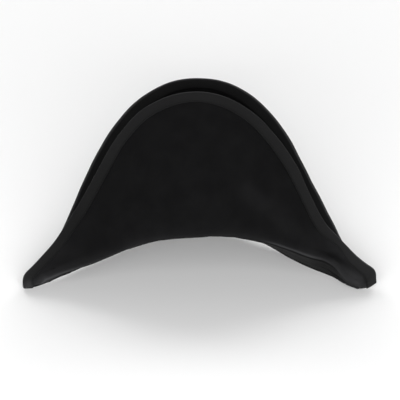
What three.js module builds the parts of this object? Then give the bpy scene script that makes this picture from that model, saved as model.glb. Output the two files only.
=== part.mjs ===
// A plain black felt bicorne hat, worn side to side, with a tape bound over its brim's edge.
// Millimetres, +Z up. The hat lies as it does by itself on a table: leaning back on its right wing,
// its left point and the fold of its back flap. The origin is on the table, under the middle.
//
// The hat is worked out upright first, as it is worn: x runs from the left point to the right one,
// y from the front flap to the back flap, and z upwards from the points. lay() leans it back.
import * as THREE from 'three';

// Felt and tape
const feltThickness = 2.5;
const tapeThickness = 0.8;
const tapeWidth = 11;
const tapeGap = 0.32;
const edgeGap = 0.85;
const besideTape = 1;

// Brim, upright
const pointReach = 222.5;
const pointHalfDepth = 6.5;
const foldHalfDepth = 104;
const frontEdgeHalfDepth = 97;
const backEdgeHalfDepth = 102;
const depthPower = 1.5;
const foldReach = 7;
const pointCornerReach = 7;
const foldEnd = 203;

// Both points are bent a little towards the front, past this distance from the middle
const bendStart = 150;
const leftBend = 3.6;
const rightBend = 6.5;

// Swell of the flaps: outwards at the middle, hollow near the points, less on a low flap
const middleSwell = 9;
const pointHollow = 4;
const fullFlap = 60;

// Soft ridge that runs down the front flap towards the right point, higher at its lower end
const ridge = { fromX: 62, fromZ: 124, toX: 138, toZ: 60, startHeight: 1, endHeight: 3.2, spread: 10 };

// Head opening and crown
const openingHalfWidth = 79;
const openingHalfLength = 97;
const crownTopZ = 181;
const crownFullness = 0.72;
const crownLowestTurn = 0.06;
const rimReach = 6;

// How the hat lies
const leanBack = THREE.MathUtils.degToRad(34);
const pressedFlat = 1.5;

// How finely the surfaces are divided. Rings round the rim and the fold are shares of the turn.
const columns = 80;
const crownRows = 7;
const rimShares = [0.4, 0.8];
const undersideRows = 2;
const foldShares = [-1, -0.33, 0.33];
const flapRows = 5;

// Most of the way to its neighbours that a rounded corner may take up
const undersideShare = 0.8;
const foldShare = 0.45;
const rimShare = 0.5;

// Sections across the hat from the left point to the right one. Heights of the middle of the felt:
// the front flap's fold and top edge, then the back flap's fold and top edge.
const SECTIONS = [
  { x: -224, frontFold: 5, frontEdge: 16.5, backFold: 1.8, backEdge: 16.5 },
  { x: -212, frontFold: 8.6, frontEdge: 27.5, backFold: 1.8, backEdge: 27.5 },
  { x: -198, frontFold: 13, frontEdge: 42, backFold: 6.2, backEdge: 41 },
  { x: -180, frontFold: 20.5, frontEdge: 62.5, backFold: 13.6, backEdge: 63.2 },
  { x: -160, frontFold: 27.2, frontEdge: 92.5, backFold: 22.8, backEdge: 106.8 },
  { x: -140, frontFold: 34.2, frontEdge: 124.5, backFold: 33.2, backEdge: 153.8 },
  { x: -115, frontFold: 43, frontEdge: 171, backFold: 43, backEdge: 199.4 },
  { x: -85, frontFold: 54.6, frontEdge: 212, backFold: 55, backEdge: 236.4 },
  { x: -50, frontFold: 64, frontEdge: 235.5, backFold: 64, backEdge: 260.5 },
  { x: 0, frontFold: 67.4, frontEdge: 245.8, backFold: 66.5, backEdge: 270.6 },
  { x: 50, frontFold: 67, frontEdge: 230.6, backFold: 66, backEdge: 258 },
  { x: 85, frontFold: 59.5, frontEdge: 203.2, backFold: 57.3, backEdge: 231.2 },
  { x: 115, frontFold: 50, frontEdge: 163, backFold: 40, backEdge: 191.6 },
  { x: 140, frontFold: 41.8, frontEdge: 114.5, backFold: 27, backEdge: 140.3 },
  { x: 160, frontFold: 35.8, frontEdge: 80.2, backFold: 19, backEdge: 101.5 },
  { x: 172, frontFold: 27, frontEdge: 68, backFold: 14, backEdge: 78 },
  { x: 182, frontFold: 14, frontEdge: 57.5, backFold: 8.6, backEdge: 58 },
  { x: 198, frontFold: 5.5, frontEdge: 41.5, backFold: 2.2, backEdge: 41 },
  { x: 212, frontFold: 3.2, frontEdge: 30.5, backFold: 2.4, backEdge: 30.5 },
  { x: 224, frontFold: 11, frontEdge: 23.2, backFold: 11, backEdge: 23.2 },
];

// Slope of a column of the table at one row: the slopes before and after it, each weighed by the
// width of the other stretch, as on a parabola through the three rows.
function slopeAt(key, row) {
  const width = (i) => SECTIONS[i + 1].x - SECTIONS[i].x;
  const chord = (i) => (SECTIONS[i + 1][key] - SECTIONS[i][key]) / width(i);
  if (row === 0) return chord(0);
  if (row === SECTIONS.length - 1) return chord(row - 1);
  return (chord(row - 1) * width(row) + chord(row) * width(row - 1)) / (width(row - 1) + width(row));
}

// A height from the table at any x, on a smooth curve through the rows.
function heightAt(key, x) {
  const last = SECTIONS.length - 2;
  let row = 0;
  while (row < last && SECTIONS[row + 1].x < x) row += 1;
  const width = SECTIONS[row + 1].x - SECTIONS[row].x;
  const t = (x - SECTIONS[row].x) / width;
  const rise = SECTIONS[row + 1][key] - SECTIONS[row][key];
  const startSlope = slopeAt(key, row) * width;
  const endSlope = slopeAt(key, row + 1) * width;
  const ease = t * t * (3 - 2 * t);
  return SECTIONS[row][key] + rise * ease + startSlope * t * (1 - t) ** 2 - endSlope * t * t * (1 - t);
}

// 1 at the middle of the hat, falling as a cosine to 0 at the points.
function middleShare(x) {
  return Math.max(Math.cos((Math.min(Math.abs(x) / pointReach, 1) * Math.PI) / 2), 0);
}

// Half the depth of the hat at x: a lens seen from above, blunt at both points.
function halfDepth(x, middle) {
  return pointHalfDepth + (middle - pointHalfDepth) * middleShare(x) ** depthPower;
}

// How far the middle line of the brim is bent towards the front at x.
function bendAt(x) {
  return -(x < 0 ? leftBend : rightBend) * THREE.MathUtils.smoothstep(Math.abs(x), bendStart, pointReach);
}

// One side of one section: side is -1 for the front flap and 1 for the back flap.
function sectionAt(x, side) {
  const front = side < 0;
  const foldZ = heightAt(front ? 'frontFold' : 'backFold', x);
  const otherZ = heightAt(front ? 'backFold' : 'frontFold', x);
  const edgeZ = heightAt(front ? 'frontEdge' : 'backEdge', x);
  const foldY = side * halfDepth(x, foldHalfDepth);
  const edgeY = side * halfDepth(x, front ? frontEdgeHalfDepth : backEdgeHalfDepth);
  const middleZ = (foldZ + otherZ) / 2;
  const under = Math.hypot(foldY, foldZ - middleZ);
  const flap = Math.hypot(edgeY - foldY, edgeZ - foldZ);
  return { foldY, foldZ, edgeY, edgeZ, middleZ, under, flap };
}

function softCorner(before, corner, after, t) {
  return before.clone().multiplyScalar((1 - t) ** 2)
    .addScaledVector(corner, 2 * t * (1 - t))
    .addScaledVector(after, t * t);
}

// Height of the soft ridge over the front flap at (x, z).
function ridgeHeight(x, z) {
  const start = new THREE.Vector2(ridge.fromX, ridge.fromZ);
  const along = new THREE.Vector2(ridge.toX, ridge.toZ).sub(start);
  const here = new THREE.Vector2(x, z).sub(start);
  const share = THREE.MathUtils.clamp(here.dot(along) / along.lengthSq(), 0, 1);
  const away = here.sub(along.clone().multiplyScalar(share)).length();
  const height = THREE.MathUtils.lerp(ridge.startHeight, ridge.endHeight, share);
  return height * Math.exp(-((away / ridge.spread) ** 2));
}

// A point of the brim. x is the section and s the distance along it from the middle of the
// underside: negative to the front, positive to the back. Past the fold it climbs the flap.
function brimPoint(x, s) {
  const side = s < 0 ? -1 : 1;
  const section = sectionAt(x, side);
  const distance = Math.abs(s);
  const reach = Math.min(foldReach, undersideShare * section.under);
  const bend = bendAt(x);
  const middle = new THREE.Vector3(x, bend, section.middleZ);
  const corner = new THREE.Vector3(x, section.foldY + bend, section.foldZ);
  const edge = new THREE.Vector3(x, section.edgeY + bend, section.edgeZ);
  const onUnderside = (d) => middle.clone().lerp(corner, d / section.under);
  const onFlap = (d) => {
    const share = (d - section.under) / section.flap;
    const point = corner.clone().lerp(edge, share);
    const swell = (middleSwell + pointHollow) * middleShare(x) ** 2 - pointHollow;
    const arch = 4 * share * (1 - share);
    point.y += side * swell * arch * Math.min(section.flap / fullFlap, 1);
    if (side < 0) point.y -= ridgeHeight(x, point.z) * Math.min(1, arch * 2);
    return point;
  };
  if (distance <= section.under - reach) return onUnderside(distance);
  if (distance >= section.under + reach) return onFlap(distance);
  const t = (distance - section.under + reach) / (2 * reach);
  return softCorner(onUnderside(section.under - reach), corner, onFlap(section.under + reach), t);
}

const reachOfSection = (x, side) => {
  const section = sectionAt(x, side);
  return section.under + section.flap;
};

// The four loops below are places (x, s) on the brim for each column. A column starts at the
// middle of a point (t = 0) and ends at the middle of a flap (t = 1).
function columnPlace(column) {
  const angle = (column / columns) * 2 * Math.PI;
  const end = Math.cos(angle) >= 0 ? 1 : -1;
  const side = Math.sin(angle) >= 0 ? 1 : -1;
  const t = Math.asin(Math.min(1, Math.abs(Math.sin(angle)))) / (Math.PI / 2);
  return { angle, end, side, t };
}

// The brim's edge: up the blunt end of a point, round its corner, and along the flap's top.
const bluntShare = 0.12;
const cornerShare = 0.26;
const edgeCrowding = 1.25;
function edgePlace({ end, side, t }) {
  const tipX = end * pointReach;
  const tipS = side * reachOfSection(tipX, side);
  const low = new THREE.Vector2(tipX, tipS - side * pointCornerReach);
  if (t < bluntShare) return new THREE.Vector2(tipX, (low.y * t) / bluntShare);
  const besideX = end * (pointReach - pointCornerReach);
  if (t < cornerShare) {
    const beside = new THREE.Vector2(besideX, side * reachOfSection(besideX, side));
    const share = (t - bluntShare) / (cornerShare - bluntShare);
    return softCorner(low, new THREE.Vector2(tipX, tipS), beside, share);
  }
  const x = besideX * (1 - (t - cornerShare) / (1 - cornerShare)) ** edgeCrowding;
  return new THREE.Vector2(x, side * reachOfSection(x, side));
}

// The fold line, which crosses from the front to the back just inside each point.
const foldCrowding = 1.6;
const foldOpeningShare = 0.144;
function foldPlace({ angle, end, side, t }) {
  const x = end * foldEnd * Math.abs(Math.cos(angle)) ** foldCrowding;
  const opening = THREE.MathUtils.smoothstep(t, 0, foldOpeningShare);
  return new THREE.Vector2(x, side * sectionAt(x, side).under * opening);
}

// The rim of the head opening, an ellipse.
function openingPlace({ angle }) {
  return new THREE.Vector2(openingHalfWidth * Math.cos(angle), openingHalfLength * Math.sin(angle));
}

// Unit vectors across a loop of places, pointing out of the loop.
function outwardOf(loop) {
  return loop.map((place, i) => {
    const next = loop[(i + 1) % loop.length];
    const previous = loop[(i + loop.length - 1) % loop.length];
    const along = next.clone().sub(previous).normalize();
    return new THREE.Vector2(along.y, -along.x);
  });
}

// The middle surface of the felt as rings of points, from the crown's top out to the brim's edge.
// The tape covers the last three.
function feltRings() {
  const places = Array.from({ length: columns }, (_, column) => columnPlace(column));
  const edge = places.map(edgePlace);
  const fold = places.map(foldPlace);
  const opening = places.map(openingPlace);
  const edgeOut = outwardOf(edge);
  const foldOut = outwardOf(fold);
  const shift = (loop, out, amounts) => loop.map((p, i) => p.clone().addScaledVector(out[i], amounts[i]));
  const mix = (a, b, share) => a.map((p, i) => p.clone().lerp(b[i], share));
  const onBrim = (loop) => loop.map((p) => brimPoint(p.x, p.y));
  const even = (amount) => new Array(columns).fill(amount);

  const band = shift(edge, edgeOut, even(-tapeWidth - besideTape));
  const reaches = fold.map((p, i) => {
    return Math.min(foldReach, foldShare * p.distanceTo(band[i]), foldShare * p.distanceTo(opening[i]));
  });
  const rimReaches = opening.map((p, i) => Math.min(rimReach, rimShare * p.distanceTo(fold[i])));
  const foldAt = (share) => shift(fold, foldOut, reaches.map((reach) => reach * share));
  const rim = opening.map((p, i) => {
    return p.clone().addScaledVector(fold[i].clone().sub(p).normalize(), rimReaches[i]);
  });

  const rimPoints = onBrim(opening);
  const outPoints = onBrim(rim);
  const crownPoint = (i, turn) => {
    const low = rimPoints[i];
    const inward = Math.cos(turn) ** crownFullness;
    return new THREE.Vector3(
      low.x * inward, low.y * inward, THREE.MathUtils.lerp(low.z, crownTopZ, Math.sin(turn)));
  };
  const rings = [];
  for (let row = 1; row <= crownRows; row += 1) {
    const turn = THREE.MathUtils.lerp(Math.PI / 2, crownLowestTurn, row / crownRows);
    rings.push(rimPoints.map((_, i) => crownPoint(i, turn)));
  }
  for (const share of rimShares) {
    rings.push(rimPoints.map((low, i) => {
      return softCorner(crownPoint(i, crownLowestTurn), low, outPoints[i], share);
    }));
  }
  const foldStart = foldAt(-1);
  for (let row = 0; row < undersideRows; row += 1) {
    rings.push(onBrim(mix(rim, foldStart, row / undersideRows)));
  }
  for (const share of foldShares) rings.push(onBrim(foldAt(share)));
  const foldFinish = foldAt(1);
  for (let row = 0; row <= flapRows; row += 1) {
    rings.push(onBrim(mix(foldFinish, band, row / flapRows)));
  }
  for (const inFromEdge of [tapeWidth, tapeWidth / 2, 0]) {
    rings.push(onBrim(shift(edge, edgeOut, even(-inFromEdge))));
  }
  return rings;
}

const top = new THREE.Vector3(0, 0, crownTopZ);
const rings = feltRings();

// Triangles of the sheet between its rings, and round the crown's top, which is vertex 0.
function sheetTriangles(ringCount) {
  const triangles = [];
  const at = (ring, column) => 1 + ring * columns + (column % columns);
  for (let column = 0; column < columns; column += 1) {
    triangles.push(0, at(0, column), at(0, column + 1));
    for (let ring = 0; ring < ringCount - 1; ring += 1) {
      triangles.push(at(ring, column), at(ring + 1, column), at(ring + 1, column + 1));
      triangles.push(at(ring, column), at(ring + 1, column + 1), at(ring, column + 1));
    }
  }
  return triangles;
}

function geometryFrom(points, triangles) {
  const geometry = new THREE.BufferGeometry();
  geometry.setAttribute('position', new THREE.Float32BufferAttribute(points.flatMap((p) => p.toArray()), 3));
  geometry.setIndex(triangles);
  return geometry;
}

// Directions square to the felt at every vertex of the sheet. They point up out of the crown.
const sheetPoints = [top, ...rings.flat()];
const sheet = geometryFrom(sheetPoints, sheetTriangles(rings.length));
sheet.computeVertexNormals();
const square = sheetPoints.map((_, i) => {
  return new THREE.Vector3().fromBufferAttribute(sheet.attributes.normal, i);
});

// Leans an upright point back about the points' line, then presses it flat on the table. A point
// on the upper face of the felt stays its thickness above the table.
const leanAxis = new THREE.Vector3(1, 0, 0);
const lowestOf = (points) => Math.min(...points.map((p) => p.z));
const lean = (p) => p.clone().applyAxisAngle(leanAxis, -leanBack);
const lowerFace = sheetPoints.map((p, i) => lean(p.clone().addScaledVector(square[i], -feltThickness / 2)));
const tableZ = lowestOf(lowerFace) + pressedFlat;
const across = new THREE.Box3().setFromPoints(lowerFace).getCenter(new THREE.Vector3());
function lay(point, above) {
  const laid = lean(point).sub(new THREE.Vector3(across.x, across.y, tableZ));
  laid.z = Math.max(laid.z, above);
  return laid;
}

// The felt wall: the sheet's two faces, half a thickness to each side, closed along the edge.
function feltBody() {
  const upper = sheetPoints.map((p, i) => {
    return lay(p.clone().addScaledVector(square[i], feltThickness / 2), feltThickness);
  });
  const lower = sheetPoints.map((p, i) => lay(p.clone().addScaledVector(square[i], -feltThickness / 2), 0));
  const faces = sheetTriangles(rings.length);
  const triangles = [...faces];
  const count = sheetPoints.length;
  for (let i = 0; i < faces.length; i += 3) {
    triangles.push(faces[i] + count, faces[i + 2] + count, faces[i + 1] + count);
  }
  const firstOfEdge = count - columns;
  for (let column = 0; column < columns; column += 1) {
    const here = firstOfEdge + column;
    const next = firstOfEdge + ((column + 1) % columns);
    triangles.push(here, here + count, next + count, here, next + count, next);
  }
  return geometryFrom([...upper, ...lower], triangles);
}

// The tape: a U folded over the edge. Its section is a list of places [in from the edge, up off the
// middle of the felt], followed down one face, round the edge and up the other.
function edgeBinding() {
  const inner = feltThickness / 2 + tapeGap;
  const outer = inner + tapeThickness;
  const half = tapeWidth / 2;
  const section = [
    [tapeWidth, outer], [half, outer], [0, outer],
    [-edgeGap - tapeThickness, outer / 2], [-edgeGap - tapeThickness, -outer / 2],
    [0, -outer], [half, -outer], [tapeWidth, -outer],
    [tapeWidth, -inner], [half, -inner], [-edgeGap, -inner],
    [-edgeGap, inner], [half, inner], [tapeWidth, inner],
  ];
  const points = [];
  const edgeStart = 1 + (rings.length - 1) * columns;
  for (let column = 0; column < columns; column += 1) {
    const edgeIndex = edgeStart + column;
    const outward = sheetPoints[edgeIndex].clone().sub(sheetPoints[edgeIndex - columns]).normalize();
    for (const [inFromEdge, off] of section) {
      const ringsBack = Math.max(inFromEdge, 0) / half;
      const index = edgeIndex - ringsBack * columns;
      const point = sheetPoints[index].clone().addScaledVector(square[index], off);
      if (inFromEdge < 0) point.addScaledVector(outward, -inFromEdge);
      points.push(lay(point, off < 0 && Math.abs(off) >= outer / 2 ? 0 : tapeThickness));
    }
  }
  const size = section.length;
  const triangles = [];
  for (let column = 0; column < columns; column += 1) {
    const here = column * size;
    const next = ((column + 1) % columns) * size;
    for (let i = 0; i < size; i += 1) {
      const k = (i + 1) % size;
      const inwards = section[k][0] > section[i][0];
      if (inwards) triangles.push(here + i, here + k, next + i, here + k, next + k, next + i);
      else triangles.push(here + i, here + k, next + k, here + i, next + k, next + i);
    }
  }
  return geometryFrom(points, triangles);
}

const felt = new THREE.MeshStandardMaterial({ color: 0x0b0b0c, roughness: 0.95, metalness: 0 });
const tape = new THREE.MeshStandardMaterial({ color: 0x121214, roughness: 0.8, metalness: 0 });

const hat = new THREE.Group();
for (const [name, geometry, material] of [
  ['felt_body', feltBody(), felt],
  ['edge_binding', edgeBinding(), tape],
]) {
  const mesh = new THREE.Mesh(geometry, material);
  mesh.name = name;
  hat.add(mesh);
}

export default hat;
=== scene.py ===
import math

import bpy
import numpy as np
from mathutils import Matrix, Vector


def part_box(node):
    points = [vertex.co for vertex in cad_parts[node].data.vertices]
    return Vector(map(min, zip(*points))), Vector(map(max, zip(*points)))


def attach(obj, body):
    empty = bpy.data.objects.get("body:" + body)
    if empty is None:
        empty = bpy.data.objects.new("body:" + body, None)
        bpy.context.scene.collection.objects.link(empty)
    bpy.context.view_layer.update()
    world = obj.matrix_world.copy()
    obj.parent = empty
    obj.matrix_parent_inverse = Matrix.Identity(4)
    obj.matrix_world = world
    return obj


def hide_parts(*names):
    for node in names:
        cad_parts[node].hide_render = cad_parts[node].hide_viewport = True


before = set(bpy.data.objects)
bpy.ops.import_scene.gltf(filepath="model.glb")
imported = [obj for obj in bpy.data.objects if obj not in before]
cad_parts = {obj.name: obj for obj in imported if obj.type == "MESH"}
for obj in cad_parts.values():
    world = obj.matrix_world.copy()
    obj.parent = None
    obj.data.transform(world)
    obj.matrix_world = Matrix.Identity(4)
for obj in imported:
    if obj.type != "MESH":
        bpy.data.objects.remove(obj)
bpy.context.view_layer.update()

# A plain black felt bicorne. It is worked out upright, as it is worn, and then leaned back as it
# lies on a table: x runs from the left point to the right one, y from the front flap to the back
# flap, and z upwards from the points. All lengths are in metres.
MM = 0.001

# Felt and tape
FELT_THICKNESS = 2.5 * MM
TAPE_THICKNESS = 0.8 * MM
TAPE_WIDTH = 11 * MM
TAPE_GAP = 0.32 * MM
EDGE_GAP = 0.85 * MM

# Brim
POINT_REACH = 222.5 * MM
POINT_HALF_DEPTH = 6.5 * MM
FOLD_HALF_DEPTH = 104 * MM
FRONT_EDGE_HALF_DEPTH = 97 * MM
BACK_EDGE_HALF_DEPTH = 102 * MM
DEPTH_POWER = 1.5
FOLD_REACH = 7 * MM
POINT_CORNER_REACH = 7 * MM
FOLD_END = 203 * MM
BEND_START = 150 * MM
LEFT_BEND = 3.6 * MM
RIGHT_BEND = 6.5 * MM
MIDDLE_SWELL = 9 * MM
POINT_HOLLOW = 4 * MM
FULL_FLAP = 60 * MM

# Soft ridge that runs down the front flap towards the right point
RIDGE_START = (62 * MM, 124 * MM)
RIDGE_END = (138 * MM, 60 * MM)
RIDGE_START_HEIGHT = 1 * MM
RIDGE_END_HEIGHT = 3.2 * MM
RIDGE_SPREAD = 10 * MM

# Crease that runs out along the front flap to the right point, as places (x, z)
CREASE = MM * np.array([(146, 47), (171, 41.5), (186, 32.5), (201, 23.5), (210, 19), (212, 11)])
CREASE_DEPTH = 1.5 * MM
CREASE_SPREAD = 4.5 * MM
CREASE_FADE_IN = (138 * MM, 172 * MM)

# Head opening and crown
OPENING_HALF_WIDTH = 79 * MM
OPENING_HALF_LENGTH = 97 * MM
CROWN_TOP_Z = 181 * MM
CROWN_FULLNESS = 0.72
CROWN_LOWEST_TURN = 0.06
RIM_REACH = 6 * MM

# Most of the way to its neighbours that a rounded corner may take up
UNDERSIDE_SHARE = 0.8
FOLD_SHARE = 0.45
RIM_SHARE = 0.5

# How the hat lies
LEAN_BACK = math.radians(34)
PRESSED_FLAT = 1.5 * MM

# How it is seen: what the picture spans across the hat's middle, the upright place (x, z) in the
# picture's middle, the camera's distance in metres, and its sensor's width in millimetres
PHOTO_SPAN = 508 * MM
PHOTO_MIDDLE = (0.6 * MM, 113.4 * MM)
CAMERA_DISTANCE = 4.0
SENSOR_WIDTH = 36.0

# How finely the surfaces are divided
COLUMNS = 400
CROWN_ROWS = 24
RIM_ROWS = 4
UNDERSIDE_ROWS = 10
FOLD_ROWS = 9
FLAP_ROWS = 46
BAND_ROWS = 7
FIRST_FOLD_RING = CROWN_ROWS + RIM_ROWS + UNDERSIDE_ROWS

# Sections from the left point to the right one, in millimetres: heights of the middle of the felt
# at the front flap's fold and top edge, then at the back flap's fold and top edge.
SECTION_COLUMNS = ("x", "front_fold", "front_edge", "back_fold", "back_edge")
SECTIONS = MM * np.array([
    (-224, 5.0, 16.5, 1.8, 16.5),
    (-212, 8.6, 27.5, 1.8, 27.5),
    (-198, 13.0, 42.0, 6.2, 41.0),
    (-180, 20.5, 62.5, 13.6, 63.2),
    (-160, 27.2, 92.5, 22.8, 106.8),
    (-140, 34.2, 124.5, 33.2, 153.8),
    (-115, 43.0, 171.0, 43.0, 199.4),
    (-85, 54.6, 212.0, 55.0, 236.4),
    (-50, 64.0, 235.5, 64.0, 260.5),
    (0, 67.4, 245.8, 66.5, 270.6),
    (50, 67.0, 230.6, 66.0, 258.0),
    (85, 59.5, 203.2, 57.3, 231.2),
    (115, 50.0, 163.0, 40.0, 191.6),
    (140, 41.8, 114.5, 27.0, 140.3),
    (160, 35.8, 80.2, 19.0, 101.5),
    (172, 27.0, 68.0, 14.0, 78.0),
    (182, 14.0, 57.5, 8.6, 58.0),
    (198, 5.5, 41.5, 2.2, 41.0),
    (212, 3.2, 30.5, 2.4, 30.5),
    (224, 11.0, 23.2, 11.0, 23.2),
])


# The brim as a surface

def height_at(name, x):
    """A height from the table at any x: a cubic between two rows, whose slope at each row is that
    of the parabola through the row and its two neighbours."""
    rows_x = SECTIONS[:, 0]
    rows_z = SECTIONS[:, SECTION_COLUMNS.index(name)]
    width = np.diff(rows_x)
    chord = np.diff(rows_z) / width
    inner = (chord[:-1] * width[1:] + chord[1:] * width[:-1]) / (width[:-1] + width[1:])
    slope = np.concatenate([chord[:1], inner, chord[-1:]])
    row = np.clip(np.searchsorted(rows_x, x) - 1, 0, len(width) - 1)
    t = (x - rows_x[row]) / width[row]
    ease = t * t * (3 - 2 * t)
    start = slope[row] * width[row] * t * (1 - t) ** 2
    end = slope[row + 1] * width[row] * t * t * (1 - t)
    return rows_z[row] + np.diff(rows_z)[row] * ease + start - end


def middle_share(x):
    """1 at the middle of the hat, falling as a cosine to 0 at the points."""
    return np.maximum(np.cos(np.minimum(np.abs(x) / POINT_REACH, 1) * math.pi / 2), 0)


def half_depth(x, middle):
    """Half the depth at x: the points' half depth plus a power of the cosine, a lens from above."""
    return POINT_HALF_DEPTH + (middle - POINT_HALF_DEPTH) * middle_share(x) ** DEPTH_POWER


def bend_at(x):
    """How far the middle line of the brim is bent towards the front: a smooth step near the points."""
    t = np.clip((np.abs(x) - BEND_START) / (POINT_REACH - BEND_START), 0, 1)
    return -np.where(x < 0, LEFT_BEND, RIGHT_BEND) * t * t * (3 - 2 * t)


def section_at(x, side):
    """Heights and depths of the fold and the edge at x, on the front (side -1) or the back (1),
    with the lengths of the underside from its middle to the fold and of the flap above it."""
    front = side < 0
    front_fold = height_at("front_fold", x)
    back_fold = height_at("back_fold", x)
    fold_z = np.where(front, front_fold, back_fold)
    edge_z = np.where(front, height_at("front_edge", x), height_at("back_edge", x))
    fold_y = side * half_depth(x, FOLD_HALF_DEPTH)
    edge_y = side * half_depth(x, np.where(front, FRONT_EDGE_HALF_DEPTH, BACK_EDGE_HALF_DEPTH))
    middle_z = (front_fold + back_fold) / 2
    under = np.hypot(fold_y, fold_z - middle_z)
    flap = np.hypot(edge_y - fold_y, edge_z - fold_z)
    return fold_y, fold_z, edge_y, edge_z, middle_z, under, flap


def soft_corner(before, corner, after, t):
    """The quadratic curve from before to after that a corner point pulls towards itself."""
    return before * (1 - t) ** 2 + corner * 2 * t * (1 - t) + after * t * t


def ridge_height(x, z):
    """A bell curve of the distance from the ridge's line, higher towards the line's lower end."""
    start = np.array(RIDGE_START)
    along = np.array(RIDGE_END) - start
    here = np.stack([x, z], axis=-1) - start
    share = np.clip(here @ along / (along @ along), 0, 1)
    away = np.linalg.norm(here - share[..., None] * along, axis=-1)
    height = RIDGE_START_HEIGHT + (RIDGE_END_HEIGHT - RIDGE_START_HEIGHT) * share
    return height * np.exp(-((away / RIDGE_SPREAD) ** 2))


def brim_point(place):
    """The point of the brim at place (x, s). s is the distance along the section from the middle
    of the underside, negative to the front: straight out to the fold, round it on a soft corner,
    and up the flap, which swells outwards at the middle and is hollow near the points."""
    x, s = place[..., 0], place[..., 1]
    side = np.where(s < 0, -1.0, 1.0)
    fold_y, fold_z, edge_y, edge_z, middle_z, under, flap = section_at(x, side)
    distance = np.abs(s)
    reach = np.minimum(FOLD_REACH, UNDERSIDE_SHARE * under)
    bend = bend_at(x)

    def on_underside(d):
        share = d / under
        return np.stack([x, bend + fold_y * share, middle_z + (fold_z - middle_z) * share], axis=-1)

    def on_flap(d):
        share = (d - under) / flap
        z = fold_z + (edge_z - fold_z) * share
        swell = (MIDDLE_SWELL + POINT_HOLLOW) * middle_share(x) ** 2 - POINT_HOLLOW
        arch = 4 * share * (1 - share)
        y = bend + fold_y + (edge_y - fold_y) * share
        y = y + side * swell * arch * np.minimum(flap / FULL_FLAP, 1)
        y = y - np.where(side < 0, ridge_height(x, z) * np.clip(arch * 2, 0, 1), 0)
        return np.stack([x, y, z], axis=-1)

    corner = np.stack([x, fold_y + bend, fold_z], axis=-1)
    t = np.clip((distance - under + reach) / (2 * reach), 0, 1)[..., None]
    rounded = soft_corner(on_underside(under - reach), corner, on_flap(under + reach), t)
    flat_under = (distance <= under - reach)[..., None]
    flat_flap = (distance >= under + reach)[..., None]
    return np.where(flat_under, on_underside(distance), np.where(flat_flap, on_flap(distance), rounded))


def reach_of_section(x, side):
    """Distance along the section from the middle of the underside to the edge."""
    *_, under, flap = section_at(x, side)
    return under + flap


# Loops round the brim, as places (x, s), one for each column

BLUNT_SHARE = 0.12
CORNER_SHARE = 0.26
EDGE_CROWDING = 1.25
FOLD_CROWDING = 1.6
FOLD_OPENING_SHARE = 0.144

angle = np.arange(COLUMNS) * 2 * math.pi / COLUMNS
end = np.where(np.cos(angle) >= 0, 1.0, -1.0)
side_of = np.where(np.sin(angle) >= 0, 1.0, -1.0)
from_point = np.arcsin(np.minimum(1, np.abs(np.sin(angle)))) / (math.pi / 2)


def edge_loop():
    """Up the blunt end of a point, round its corner, then along the flap's top: x falls as a power
    of what is left of the way to the middle, and s is the whole length of the section there."""
    tip_x = end * POINT_REACH
    tip_s = side_of * reach_of_section(tip_x, side_of)
    beside_x = end * (POINT_REACH - POINT_CORNER_REACH)
    low = np.stack([tip_x, tip_s - side_of * POINT_CORNER_REACH], axis=-1)
    beside = np.stack([beside_x, side_of * reach_of_section(beside_x, side_of)], axis=-1)
    corner = np.stack([tip_x, tip_s], axis=-1)
    blunt = np.stack([tip_x, low[:, 1] * from_point / BLUNT_SHARE], axis=-1)
    turn = np.clip((from_point - BLUNT_SHARE) / (CORNER_SHARE - BLUNT_SHARE), 0, 1)[:, None]
    left = np.clip(1 - (from_point - CORNER_SHARE) / (1 - CORNER_SHARE), 0, 1)
    top_x = beside_x * left ** EDGE_CROWDING
    top = np.stack([top_x, side_of * reach_of_section(top_x, side_of)], axis=-1)
    loop = np.where((from_point < CORNER_SHARE)[:, None], soft_corner(low, corner, beside, turn), top)
    return np.where((from_point < BLUNT_SHARE)[:, None], blunt, loop)


def fold_loop():
    """The fold: x is a power of the column's cosine, and s the underside's half length, which
    closes to nothing where the loop crosses over just inside each point."""
    x = end * FOLD_END * np.abs(np.cos(angle)) ** FOLD_CROWDING
    t = np.clip(from_point / FOLD_OPENING_SHARE, 0, 1)
    *_, under, _ = section_at(x, side_of)
    return np.stack([x, side_of * under * t * t * (3 - 2 * t)], axis=-1)


def opening_loop():
    """The rim of the head opening, an ellipse."""
    return np.stack([OPENING_HALF_WIDTH * np.cos(angle), OPENING_HALF_LENGTH * np.sin(angle)], axis=-1)


def outward_of(loop):
    """Unit vectors across the loop: its direction from neighbour to neighbour, turned out."""
    along = np.roll(loop, -1, axis=0) - np.roll(loop, 1, axis=0)
    along = along / np.linalg.norm(along, axis=-1, keepdims=True)
    return np.stack([along[:, 1], -along[:, 0]], axis=-1)


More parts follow.
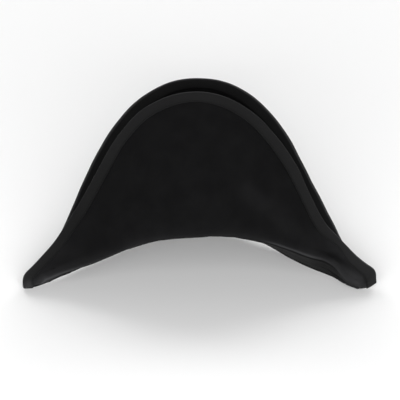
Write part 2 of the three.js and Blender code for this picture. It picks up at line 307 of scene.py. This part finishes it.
def felt_grid():
    """The middle surface of the felt as an array [ring, column, xyz], from near the crown's top out
    to the brim's edge: crown, rim of the opening, underside, fold, flap, and the band that the
    tape covers. Each stretch mixes its two loops in even steps."""
    edge, fold, opening = edge_loop(), fold_loop(), opening_loop()
    edge_out, fold_out = outward_of(edge), outward_of(fold)
    band = edge - edge_out * TAPE_WIDTH
    distance = np.minimum(np.linalg.norm(fold - band, axis=-1), np.linalg.norm(fold - opening, axis=-1))
    reach = np.minimum(FOLD_REACH, FOLD_SHARE * distance)[:, None]
    to_fold = fold - opening
    to_fold_length = np.linalg.norm(to_fold, axis=-1, keepdims=True)
    rim = opening + to_fold / to_fold_length * np.minimum(RIM_REACH, RIM_SHARE * to_fold_length)

    low = brim_point(opening)
    turns = np.linspace(math.pi / 2, CROWN_LOWEST_TURN, CROWN_ROWS + 1)[1:, None]
    inward = np.cos(turns) ** CROWN_FULLNESS
    crown_z = low[:, 2] + (CROWN_TOP_Z - low[:, 2]) * np.sin(turns)
    crown = np.stack([low[:, 0] * inward, low[:, 1] * inward, crown_z], axis=-1)
    around = np.linspace(0, 1, RIM_ROWS + 2)[1:-1, None, None]
    rim_rings = soft_corner(crown[-1], low, brim_point(rim), around)

    def between(start, finish, rows):
        share = np.linspace(0, 1, rows + 1)[:-1, None, None]
        return brim_point(start + (finish - start) * share)

    fold_start = fold - fold_out * reach
    fold_finish = fold + fold_out * reach
    return np.concatenate([
        crown,
        rim_rings,
        between(rim, fold_start, UNDERSIDE_ROWS),
        between(fold_start, fold_finish, FOLD_ROWS),
        between(fold_finish, band, FLAP_ROWS),
        between(band, edge, BAND_ROWS),
        brim_point(edge)[None],
    ])


# Slight waves of the felt: their lengths and depths, how many of each length there are, and how
# high above the table they reach their full depth
WAVES = MM * np.array([(95, 0.5), (60, 0.35), (34, 0.14), (21, 0.07)])
WAVES_OF_A_LENGTH = 3
WAVES_SEED = 7
WAVES_FULL_AT = 6 * MM


def soft_waves(points):
    """Slight unevenness of blocked felt: a sum of sine waves in fixed random directions."""
    draw = np.random.default_rng(WAVES_SEED)
    height = np.zeros(points.shape[:-1])
    for length, depth in WAVES:
        for _ in range(WAVES_OF_A_LENGTH):
            direction = draw.normal(size=3)
            direction = direction / np.linalg.norm(direction)
            phase = draw.uniform(0, 2 * math.pi)
            height = height + depth * np.sin(points @ direction * 2 * math.pi / length + phase)
    return height


def square_to(grid):
    """Unit vectors square to the grid: the cross product of its two directions. They point up out
    of the crown."""
    down = np.gradient(grid, axis=0)
    across = np.roll(grid, -1, axis=1) - np.roll(grid, 1, axis=1)
    normal = np.cross(down, across)
    return normal / np.linalg.norm(normal, axis=-1, keepdims=True)


felt_low, felt_high = (np.array(corner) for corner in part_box("felt_body"))


def lean(points):
    """Turns upright points back about the line of the hat's points."""
    x, y, z = points[..., 0], points[..., 1], points[..., 2]
    turned_y = y * math.cos(LEAN_BACK) + z * math.sin(LEAN_BACK)
    turned_z = z * math.cos(LEAN_BACK) - y * math.sin(LEAN_BACK)
    return np.stack([x, turned_y, turned_z], axis=-1)


grid = felt_grid()
square = square_to(grid)
lower_face = lean(grid - square * FELT_THICKNESS / 2)
TABLE_SHIFT = np.array([
    0.0,
    (lower_face[..., 1].min() + lower_face[..., 1].max()) / 2 - (felt_low[1] + felt_high[1]) / 2,
    lower_face[..., 2].min() + PRESSED_FLAT,
])
free_of_table = np.clip((lean(grid)[..., 2] - TABLE_SHIFT[2]) / WAVES_FULL_AT, 0, 1)
grid = grid + square * (soft_waves(grid) * free_of_table)[..., None]
square = square_to(grid)


def lay(points, above):
    """Leans upright points back and presses what is lower than `above` flat on the table."""
    laid = lean(points) - TABLE_SHIFT
    laid[..., 2] = np.maximum(laid[..., 2], above)
    return laid


# Painted light and shade

# Where along x, from the middle outwards, the painted light at the ends starts and where it is full
RIGHT_END = (128 * MM, 214 * MM)
LEFT_END = (128 * MM, 222 * MM)

# How much painted light lightens the front flap at the right and left ends, as a painted highlight on
# the ridge and at the right point, and how much painted shade darkens it in the crease
FLAP_RIGHT_LIGHT = 0.3
FLAP_LEFT_LIGHT = 0.14
RIDGE_HIGHLIGHT = 0.05
RIDGE_HIGHLIGHT_SPREAD = 13 * MM
RIGHT_POINT = MM * np.array([(178, 20), (190, 16), (200, 12)])
RIGHT_POINT_LIGHT = 0.08
RIGHT_POINT_SPREAD = 9 * MM
# Painted shade in the crease
CREASE_SHADE = -0.17
CREASE_SHADE_SPREAD = 5 * MM

# Painted light and shade for the underside, with painted shade darkest in a long hollow on the right
UNDER_RIGHT_LIGHT = 0.3
UNDER_LEFT_LIGHT = 0.5
HOLLOW_SHADE = -0.6
HOLLOW_START = (60 * MM, 110 * MM)
HOLLOW_END = (152 * MM, 190 * MM)

# A painted highlight all along the folds, and on the sharp crest of the front fold to the right and
# left. Their spreads, and the left crest's place under the fold's middle, are counted in rings.
FOLD_HIGHLIGHT = 0.1
FOLD_HIGHLIGHT_SPREAD = 0.55 * FOLD_ROWS
RIGHT_CREST_HIGHLIGHT = 0.6
RIGHT_CREST_START = (70 * MM, 100 * MM)
RIGHT_CREST_END = (138 * MM, 172 * MM)
RIGHT_CREST_SPREAD = 1.1
LEFT_CREST_INNER_HIGHLIGHT = 0.16
LEFT_CREST_INNER_START = (50 * MM, 80 * MM)
LEFT_CREST_OUTER_HIGHLIGHT = 0.5
LEFT_CREST_OUTER_START = (130 * MM, 180 * MM)
LEFT_CREST_BELOW = 1.6
LEFT_CREST_SPREAD = 1.2

# A painted highlight under the left point, on the felt and on the tape
LEFT_POINT = MM * np.array([(-216, 5), (-205, 9), (-194, 14)])
LEFT_POINT_LIGHT = 0.26
LEFT_POINT_SPREAD = 3.8 * MM
LEFT_POINT_TAPE_LIGHT = 2.2
LEFT_POINT_TAPE_SPREAD = 6 * MM

# Painted light for the tape at its ends, and painted shade on the left wing, where it is darker
TAPE_RIGHT_LIGHT = 0.42
TAPE_RIGHT_END = (130 * MM, 205 * MM)
TAPE_LEFT_LIGHT = 0.1
TAPE_LEFT_END = (170 * MM, 215 * MM)
TAPE_WING_SHADE = -0.3
TAPE_WING_X = -150 * MM
TAPE_WING_SPREAD = 40 * MM


def away_from(line, x, z):
    """Distance in the front view from a line of places: the least of the distances to its parts."""
    nearest = np.full(x.shape, np.inf)
    for start, finish in zip(line[:-1], line[1:]):
        along = finish - start
        here = np.stack([x, z], axis=-1) - start
        share = np.clip(here @ along / (along @ along), 0, 1)
        nearest = np.minimum(nearest, np.linalg.norm(here - share[..., None] * along, axis=-1))
    return nearest


def bell(distance, spread):
    """A bell curve of the distance: 1 at 0, and falling to about a third at the spread."""
    return np.exp(-((distance / spread) ** 2))


def soft_step(value, low, high):
    """0 below low and 1 above high, with a smooth cubic between them."""
    t = np.clip((value - low) / (high - low), 0, 1)
    return t * t * (3 - 2 * t)


def crease_share(x, z, spread):
    """1 along the crease, falling off sideways as a bell curve and fading in from its start."""
    return bell(away_from(CREASE, x, z), spread) * soft_step(x, *CREASE_FADE_IN)


def painted_light_of(points):
    """How much painted light (above 0) lightens or painted shade (below 0) darkens the felt at each
    vertex of the grid. Outside the fold it is the flap's painted light and shade, inside it the
    underside's, and the folds, the crests and the left point add their own painted highlights."""
    x, z = points[..., 0], points[..., 2]
    ring = np.arange(len(points))[:, None]
    past_fold = ring - FIRST_FOLD_RING - FOLD_ROWS / 2
    outer = ring >= FIRST_FOLD_RING + FOLD_ROWS // 2
    front = side_of[None, :] < 0
    to_right = soft_step(x, *RIGHT_END)
    to_left = soft_step(-x, *LEFT_END)

    flap = FLAP_RIGHT_LIGHT * to_right + FLAP_LEFT_LIGHT * to_left
    flap = flap + RIDGE_HIGHLIGHT * bell(away_from(np.array([RIDGE_START, RIDGE_END]), x, z), RIDGE_HIGHLIGHT_SPREAD)
    flap = flap + RIGHT_POINT_LIGHT * bell(away_from(RIGHT_POINT, x, z), RIGHT_POINT_SPREAD)
    flap = flap + CREASE_SHADE * crease_share(x, z, CREASE_SHADE_SPREAD)

    hollow = soft_step(x, *HOLLOW_START) * (1 - soft_step(x, *HOLLOW_END))
    under = UNDER_LEFT_LIGHT * to_left + UNDER_RIGHT_LIGHT * to_right + HOLLOW_SHADE * hollow
    under = under * (1 - outer)

    right_crest = RIGHT_CREST_HIGHLIGHT * soft_step(x, *RIGHT_CREST_START)
    right_crest = right_crest * (1 - soft_step(x, *RIGHT_CREST_END))
    left_crest = LEFT_CREST_INNER_HIGHLIGHT * soft_step(-x, *LEFT_CREST_INNER_START)
    left_crest = left_crest + LEFT_CREST_OUTER_HIGHLIGHT * soft_step(-x, *LEFT_CREST_OUTER_START)
    crest = right_crest * bell(past_fold, RIGHT_CREST_SPREAD)
    crest = crest + left_crest * bell(past_fold + LEFT_CREST_BELOW, LEFT_CREST_SPREAD)

    fold = FOLD_HIGHLIGHT * bell(past_fold, FOLD_HIGHLIGHT_SPREAD)
    left_point = LEFT_POINT_LIGHT * bell(away_from(LEFT_POINT, x, z), LEFT_POINT_SPREAD)
    return np.where(outer & front, flap, under) + fold + (crest + left_point) * front


def tape_painted_light_of(points):
    """The same for the tape: painted light towards both ends and a painted highlight under the left
    point, and painted shade round one place on the left wing."""
    x, z = points[..., 0], points[..., 2]
    ends = TAPE_RIGHT_LIGHT * soft_step(x, *TAPE_RIGHT_END) + TAPE_LEFT_LIGHT * soft_step(-x, *TAPE_LEFT_END)
    wing = TAPE_WING_SHADE * bell(x - TAPE_WING_X, TAPE_WING_SPREAD)
    left_point = LEFT_POINT_TAPE_LIGHT * bell(away_from(LEFT_POINT, x, z), LEFT_POINT_TAPE_SPREAD)
    return ends + wing + left_point


pressed_in = CREASE_DEPTH * crease_share(grid[..., 0], grid[..., 2], CREASE_SPREAD)
on_front_flap = (np.arange(len(grid)) > FIRST_FOLD_RING + FOLD_ROWS)[:, None] & (side_of[None, :] < 0)
grid = grid + square * (pressed_in * on_front_flap)[..., None]
square = square_to(grid)
# Painted light and shade on the felt: one value at each vertex, lighter above 0 and darker below
painted_light_and_shade = painted_light_of(grid)


# Meshes

def add_mesh(name, vertices, faces, smooth=True):
    """Makes an object from vertices and faces, and puts it in the scene."""
    mesh = bpy.data.meshes.new(name)
    mesh.from_pydata(vertices.tolist(), [], faces)
    mesh.polygons.foreach_set("use_smooth", np.full(len(mesh.polygons), smooth))
    mesh.update()
    piece = bpy.data.objects.new(name, mesh)
    bpy.context.scene.collection.objects.link(piece)
    return piece


def quads_between(rings, columns, start=0, closed_rings=False):
    """Quads of a grid whose columns close on themselves, as rows of four vertex numbers."""
    ring = np.arange(rings if closed_rings else rings - 1)[:, None]
    column = np.arange(columns)[None, :]
    here = start + ring * columns + column
    beside = start + ring * columns + (column + 1) % columns
    below = start + (ring + 1) % rings * columns + column
    below_beside = start + (ring + 1) % rings * columns + (column + 1) % columns
    return np.stack([here, below, below_beside, beside], axis=-1).reshape(-1, 4)


def felt_body():
    """The felt wall: the grid's two faces half a thickness to each side, joined along the edge, and
    closed over the crown's top with a fan."""
    rings = len(grid)
    upper = lay(grid + square * FELT_THICKNESS / 2, FELT_THICKNESS)
    lower = lay(grid - square * FELT_THICKNESS / 2, 0)
    half = FELT_THICKNESS / 2
    poles = lay(np.array([[0, 0, CROWN_TOP_Z + half], [0, 0, CROWN_TOP_Z - half]]), 0)
    count = rings * COLUMNS
    vertices = np.concatenate([upper.reshape(-1, 3), lower.reshape(-1, 3), poles])
    upper_quads = quads_between(rings, COLUMNS)
    lower_quads = quads_between(rings, COLUMNS, start=count)[:, ::-1]
    column = np.arange(COLUMNS)
    beside = (column + 1) % COLUMNS
    last = (rings - 1) * COLUMNS
    under = count + last
    rim_quads = np.stack([last + column, under + column, under + beside, last + beside], axis=-1)
    upper_fan = np.stack([np.full(COLUMNS, 2 * count), column, beside], axis=-1)
    lower_fan = np.stack([np.full(COLUMNS, 2 * count + 1), count + beside, count + column], axis=-1)
    quads = np.concatenate([upper_quads, lower_quads, rim_quads]).tolist()
    piece = add_mesh("felt_body_fine", vertices, quads + upper_fan.tolist() + lower_fan.tolist())
    # The felt's painted light and shade, kept on each vertex for its material
    layer = piece.data.attributes.new("painted_light_and_shade", "FLOAT", "POINT")
    layer.data.foreach_set("value", np.concatenate([painted_light_and_shade.reshape(-1), painted_light_and_shade.reshape(-1), [0, 0]]))
    return piece


felt = felt_body()
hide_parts("felt_body")
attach(felt, "root")


# The tape

EDGE_TURN_STEPS = 8
EDGE_TURN_WIDTH = 5.4 * MM
TAPE_FACE_WIDTH = 2 * TAPE_WIDTH + EDGE_TURN_WIDTH
TAPE_BULGE = 0.12 * TAPE_THICKNESS
RIB_PITCH = 0.9 * MM

# Tones of the tape's outer face, at shares of the way from one border over the edge to the other: dark
# at the borders, lightest on the fold, where a highlight is painted. Each has a trace more blue.
TRACE_OF_BLUE = 1.03
TAPE_TONES = ((0.005, 0.0042), (0.06, 0.0062), (0.2, 0.0072), (0.38, 0.0078), (0.42, 0.03),
              (0.58, 0.03), (0.62, 0.0078), (0.8, 0.0072), (0.94, 0.0062), (0.995, 0.0042))


def tape_section():
    """The tape's section as places (distance in from the edge, height off the felt's middle): along
    the outer face, round the edge on a half ellipse, back along the other outer face, and the
    same again inside."""
    inner = FELT_THICKNESS / 2 + TAPE_GAP
    outer = inner + TAPE_THICKNESS
    along = np.linspace(TAPE_WIDTH, 0, BAND_ROWS + 1)
    turn = np.linspace(math.pi / 2, -math.pi / 2, EDGE_TURN_STEPS + 1)[1:-1]
    bulge = TAPE_BULGE * np.sin(along / TAPE_WIDTH * math.pi)
    outside = np.concatenate([
        np.stack([along, outer + bulge], axis=-1),
        np.stack([-(EDGE_GAP + TAPE_THICKNESS) * np.cos(turn), outer * np.sin(turn)], axis=-1),
        np.stack([along[::-1], -outer - bulge], axis=-1),
    ])
    inside = np.concatenate([
        np.stack([along, np.full(len(along), -inner)], axis=-1),
        np.stack([-EDGE_GAP * np.cos(turn[::-1]), inner * np.sin(turn[::-1])], axis=-1),
        np.stack([along[::-1], np.full(len(along), inner)], axis=-1),
    ])
    return np.concatenate([outside, inside])


def edge_binding():
    """The tape: its section carried round the edge. Where it lies over the felt it stands off the
    grid's own rings, and past the edge it is carried out along the felt. Its UV is the distance
    along the tape and the distance round its section."""
    section = tape_section()
    band = grid[-(BAND_ROWS + 1):]
    band_square = square[-(BAND_ROWS + 1):]
    outward = band[-1] - band[-2]
    outward = outward / np.linalg.norm(outward, axis=-1, keepdims=True)
    rings = []
    painted_shading = []
    for inward, height in section:
        row = int(round(BAND_ROWS - max(inward, 0) / TAPE_WIDTH * BAND_ROWS))
        ring = band[row] + band_square[row] * height + outward * max(-inward, 0)
        rings.append(ring)
        # Painted light and shade on the tape at each ring
        painted_shading.append(tape_painted_light_of(ring))
    middle_of_lower_layer = -(FELT_THICKNESS + TAPE_THICKNESS) / 2 - TAPE_GAP
    above = np.where(section[:, 1] < middle_of_lower_layer, 0, TAPE_THICKNESS)
    vertices = np.stack([lay(ring, height) for ring, height in zip(rings, above)])
    quads = quads_between(len(section), COLUMNS, closed_rings=True)
    piece = add_mesh("edge_binding_fine", vertices.reshape(-1, 3), quads.tolist())
    along = np.linalg.norm(np.roll(vertices[0], -1, axis=0) - vertices[0], axis=-1)
    u = np.concatenate([[0], np.cumsum(along)])
    steps = np.linalg.norm(np.diff(section, axis=0, append=section[:1]), axis=-1)
    v = np.concatenate([[0], np.cumsum(steps)])
    ring, column = np.divmod(np.arange(len(quads)), COLUMNS)
    uv = np.stack([
        np.stack([u[column], v[ring]], axis=-1),
        np.stack([u[column], v[ring + 1]], axis=-1),
        np.stack([u[column + 1], v[ring + 1]], axis=-1),
        np.stack([u[column + 1], v[ring]], axis=-1),
    ], axis=1)
    layer = piece.data.uv_layers.new(name="along_tape")
    layer.data.foreach_set("uv", uv.reshape(-1))
    # The tape's painted light and shade, kept on each vertex for its material
    layer = piece.data.attributes.new("painted_light_and_shade", "FLOAT", "POINT")
    layer.data.foreach_set("value", np.concatenate(painted_shading))
    return piece


tape = edge_binding()
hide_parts("edge_binding")
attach(tape, "root")


# Materials

# How strongly painted light of 1 or painted shade of -1 changes each cloth's colour
FELT_LIGHTER = 8
FELT_DARKER = 0.68
TAPE_LIGHTER = 1
TAPE_DARKER = 1

FELT_BLACK = (0.0043, 0.0043, 0.0045, 1)
FELT_GREYER_BLACK = (0.0057, 0.0057, 0.0059, 1)

def new_material(name):
    """An empty node material, with its nodes and links."""
    material = bpy.data.materials.new(name)
    material.use_nodes = True
    material.node_tree.nodes.clear()
    return material, material.node_tree.nodes, material.node_tree.links


def painted_light_group():
    """How painted light and shade change a cloth's colour. Where the piece's painted light is above 0
    the colour is times 1 + Lighter x that value, and where it is painted shade, below 0, times 1 +
    Darker x that value."""
    group = bpy.data.node_groups.new("cloth_painted_light", "ShaderNodeTree")
    group.interface.new_socket("Color", in_out="INPUT", socket_type="NodeSocketColor")
    for name in ("Light_and_shade", "Lighter", "Darker"):
        group.interface.new_socket(name, in_out="INPUT", socket_type="NodeSocketFloat")
    group.interface.new_socket("Color", in_out="OUTPUT", socket_type="NodeSocketColor")
    nodes, links = group.nodes, group.links
    given = nodes.new("NodeGroupInput")
    result = nodes.new("NodeGroupOutput")
    factor = None
    for operation, gain in (("MAXIMUM", "Lighter"), ("MINIMUM", "Darker")):
        part = nodes.new("ShaderNodeMath")
        part.operation = operation
        part.inputs[1].default_value = 0
        share = nodes.new("ShaderNodeMath")
        share.operation = "MULTIPLY_ADD"
        share.inputs[2].default_value = 1
        links.new(given.outputs["Light_and_shade"], part.inputs[0])
        links.new(part.outputs["Value"], share.inputs[0])
        links.new(given.outputs[gain], share.inputs[1])
        if factor is not None:
            links.new(factor.outputs["Value"], share.inputs[2])
        factor = share
    scaled = nodes.new("ShaderNodeVectorMath")
    scaled.operation = "SCALE"
    links.new(given.outputs["Color"], scaled.inputs[0])
    links.new(factor.outputs["Value"], scaled.inputs["Scale"])
    links.new(scaled.outputs["Vector"], result.inputs["Color"])
    return group


cloth_painted_light = painted_light_group()


def place_painted_light(nodes, links, shader, lighter, darker):
    """Places the group before a shader's Base Color and returns it. Its painted light and shade come
    from the piece.
    """
    # The piece's painted light and shade
    layer = nodes.new("ShaderNodeAttribute")
    layer.attribute_name = "painted_light_and_shade"
    painted_shading = nodes.new("ShaderNodeGroup")
    painted_shading.node_tree = cloth_painted_light
    painted_shading.inputs["Lighter"].default_value = lighter
    painted_shading.inputs["Darker"].default_value = darker
    links.new(layer.outputs["Fac"], painted_shading.inputs["Light_and_shade"])
    links.new(painted_shading.outputs["Color"], shader.inputs["Base Color"])
    return painted_shading


def felt_material():
    """Black wool felt: matt, with a faint sheen, slight mottling and a short, uneven nap."""
    material, nodes, links = new_material("black_wool_felt")
    output = nodes.new("ShaderNodeOutputMaterial")
    shader = nodes.new("ShaderNodeBsdfPrincipled")
    shader.inputs["Roughness"].default_value = 0.95
    shader.inputs["Specular IOR Level"].default_value = 0.02
    shader.inputs["Sheen Weight"].default_value = 0.02
    shader.inputs["Sheen Roughness"].default_value = 0.45
    links.new(shader.outputs["BSDF"], output.inputs["Surface"])
    coordinates = nodes.new("ShaderNodeTexCoord")
    mottle = nodes.new("ShaderNodeTexNoise")
    mottle.inputs["Scale"].default_value = 45
    mottle.inputs["Detail"].default_value = 6
    black = nodes.new("ShaderNodeValToRGB")
    black.color_ramp.elements[0].position = 0.3
    black.color_ramp.elements[0].color = FELT_BLACK
    black.color_ramp.elements[1].position = 0.7
    black.color_ramp.elements[1].color = FELT_GREYER_BLACK
    nap = nodes.new("ShaderNodeTexNoise")
    nap.inputs["Scale"].default_value = 1400
    nap.inputs["Detail"].default_value = 4
    bump = nodes.new("ShaderNodeBump")
    bump.inputs["Strength"].default_value = 0.35
    bump.inputs["Distance"].default_value = 0.0004
    # Painted light and shade lighten and darken the felt's colour here
    painted_shading = place_painted_light(nodes, links, shader, FELT_LIGHTER, FELT_DARKER)
    links.new(coordinates.outputs["Object"], mottle.inputs["Vector"])
    links.new(coordinates.outputs["Object"], nap.inputs["Vector"])
    links.new(mottle.outputs["Fac"], black.inputs["Fac"])
    links.new(black.outputs["Color"], painted_shading.inputs["Color"])
    links.new(nap.outputs["Fac"], bump.inputs["Height"])
    links.new(bump.outputs["Normal"], shader.inputs["Normal"])
    return material


def tape_material():
    """Black woven tape: fine ribs across it, darker at its borders and with a painted highlight on its
    fold.
    """
    material, nodes, links = new_material("black_woven_tape")
    output = nodes.new("ShaderNodeOutputMaterial")
    shader = nodes.new("ShaderNodeBsdfPrincipled")
    shader.inputs["Roughness"].default_value = 0.75
    shader.inputs["Specular IOR Level"].default_value = 0.1
    shader.inputs["Sheen Weight"].default_value = 0.02
    links.new(shader.outputs["BSDF"], output.inputs["Surface"])
    uv = nodes.new("ShaderNodeUVMap")
    uv.uv_map = "along_tape"
    split = nodes.new("ShaderNodeSeparateXYZ")
    tones = nodes.new("ShaderNodeValToRGB")
    tones.color_ramp.interpolation = "EASE"
    for position, tone in TAPE_TONES:
        element = tones.color_ramp.elements.new(position)
        element.color = (tone, tone, tone * TRACE_OF_BLUE, 1)
    tones.color_ramp.elements.remove(tones.color_ramp.elements[0])
    tones.color_ramp.elements.remove(tones.color_ramp.elements[-1])
    across = nodes.new("ShaderNodeMapRange")
    across.inputs["From Max"].default_value = TAPE_FACE_WIDTH
    turns = nodes.new("ShaderNodeMath")
    turns.operation = "MULTIPLY"
    turns.inputs[1].default_value = 2 * math.pi / RIB_PITCH
    ribs = nodes.new("ShaderNodeMath")
    ribs.operation = "SINE"
    bump = nodes.new("ShaderNodeBump")
    bump.inputs["Strength"].default_value = 0.5
    bump.inputs["Distance"].default_value = 0.0002
    # Painted light and shade lighten and darken the tape's colour here
    painted_shading = place_painted_light(nodes, links, shader, TAPE_LIGHTER, TAPE_DARKER)
    links.new(uv.outputs["UV"], split.inputs["Vector"])
    links.new(split.outputs["Y"], across.inputs["Value"])
    links.new(across.outputs["Result"], tones.inputs["Fac"])
    links.new(tones.outputs["Color"], painted_shading.inputs["Color"])
    links.new(split.outputs["X"], turns.inputs[0])
    links.new(turns.outputs["Value"], ribs.inputs[0])
    links.new(ribs.outputs["Value"], bump.inputs["Height"])
    links.new(bump.outputs["Normal"], shader.inputs["Normal"])
    return material


felt.data.materials.append(felt_material())
tape.data.materials.append(tape_material())


# Floor, light and camera

FLOOR_REACH = 6.0
FLOOR_TONE = 0.88
HAT_MIDDLE = (0, 0, 0.13)
BEHIND_HAT = (0, 0.2, 0)

# Softboxes: name, place, what it points at, width, height and power in watts
SOFTBOXES = (
    ("front_softbox", (0, -2.3, 1.05), HAT_MIDDLE, 2.4, 0.9, 58),
    ("fill_softbox", (0, -2.4, 2.1), HAT_MIDDLE, 1.8, 1.2, 26),
    ("left_back_softbox", (-1.5, 2.0, 2.2), BEHIND_HAT, 2.2, 2.2, 44),
    ("right_back_softbox", (1.5, 2.0, 2.2), BEHIND_HAT, 2.2, 2.2, 44),
)


def floor():
    """A wide pale matt square under the hat."""
    x = FLOOR_REACH * np.array([-1, 1, 1, -1])
    y = FLOOR_REACH * np.array([-1, -1, 1, 1])
    corners = np.stack([x, y, np.zeros(4)], axis=-1)
    piece = add_mesh("floor", corners, [(0, 1, 2, 3)], smooth=False)
    material, nodes, links = new_material("pale_floor")
    output = nodes.new("ShaderNodeOutputMaterial")
    shader = nodes.new("ShaderNodeBsdfPrincipled")
    shader.inputs["Base Color"].default_value = (FLOOR_TONE, FLOOR_TONE, FLOOR_TONE, 1)
    shader.inputs["Roughness"].default_value = 0.9
    links.new(shader.outputs["BSDF"], output.inputs["Surface"])
    piece.data.materials.append(material)


def softbox(name, place, target, width, height, power):
    """A rectangular light that points at its target."""
    data = bpy.data.lights.new(name, "AREA")
    data.shape = "RECTANGLE"
    data.size = width
    data.size_y = height
    data.energy = power
    lamp = bpy.data.objects.new(name, data)
    lamp.location = place
    lamp.rotation_euler = (Vector(target) - Vector(place)).to_track_quat("-Z", "Y").to_euler()
    bpy.context.scene.collection.objects.link(lamp)


floor()
for row in SOFTBOXES:
    softbox(*row)


# Tones of the light from all round: each is a height of the direction looked in, and the tone there
WORLD_TONES = ((0.1, 0.4), (0.55, 0.2))


def studio_world():
    """White light that is strongest level with the floor and fades upwards."""
    world = bpy.data.worlds.new("studio")
    world.use_nodes = True
    nodes, links = world.node_tree.nodes, world.node_tree.links
    coordinates = nodes.new("ShaderNodeTexCoord")
    split = nodes.new("ShaderNodeSeparateXYZ")
    ramp = nodes.new("ShaderNodeValToRGB")
    ramp.color_ramp.interpolation = "EASE"
    for element, (height, tone) in zip(ramp.color_ramp.elements, WORLD_TONES):
        element.position = height
        element.color = (tone, tone, tone, 1)
    background = nodes["Background"]
    background.inputs["Strength"].default_value = 1
    links.new(coordinates.outputs["Generated"], split.inputs["Vector"])
    links.new(split.outputs["Z"], ramp.inputs["Fac"])
    links.new(ramp.outputs["Color"], background.inputs["Color"])
    bpy.context.scene.world = world


studio_world()
bpy.context.scene.view_settings.view_transform = "Standard"


def camera():
    """Looks square at the upright hat's front, level with its middle, from the photograph's side."""
    data = bpy.data.cameras.new("camera")
    data.sensor_width = SENSOR_WIDTH
    data.lens = SENSOR_WIDTH * CAMERA_DISTANCE / PHOTO_SPAN
    seen = bpy.data.objects.new("camera", data)
    target_x, target_z = PHOTO_MIDDLE
    target = lean(np.array([target_x, 0, target_z])) - TABLE_SHIFT
    away = lean(np.array([0, -CAMERA_DISTANCE, 0]))
    seen.location = Vector(target + away)
    seen.rotation_euler = Vector(-away).to_track_quat("-Z", "Y").to_euler()
    bpy.context.scene.collection.objects.link(seen)
    bpy.context.scene.camera = seen


camera()
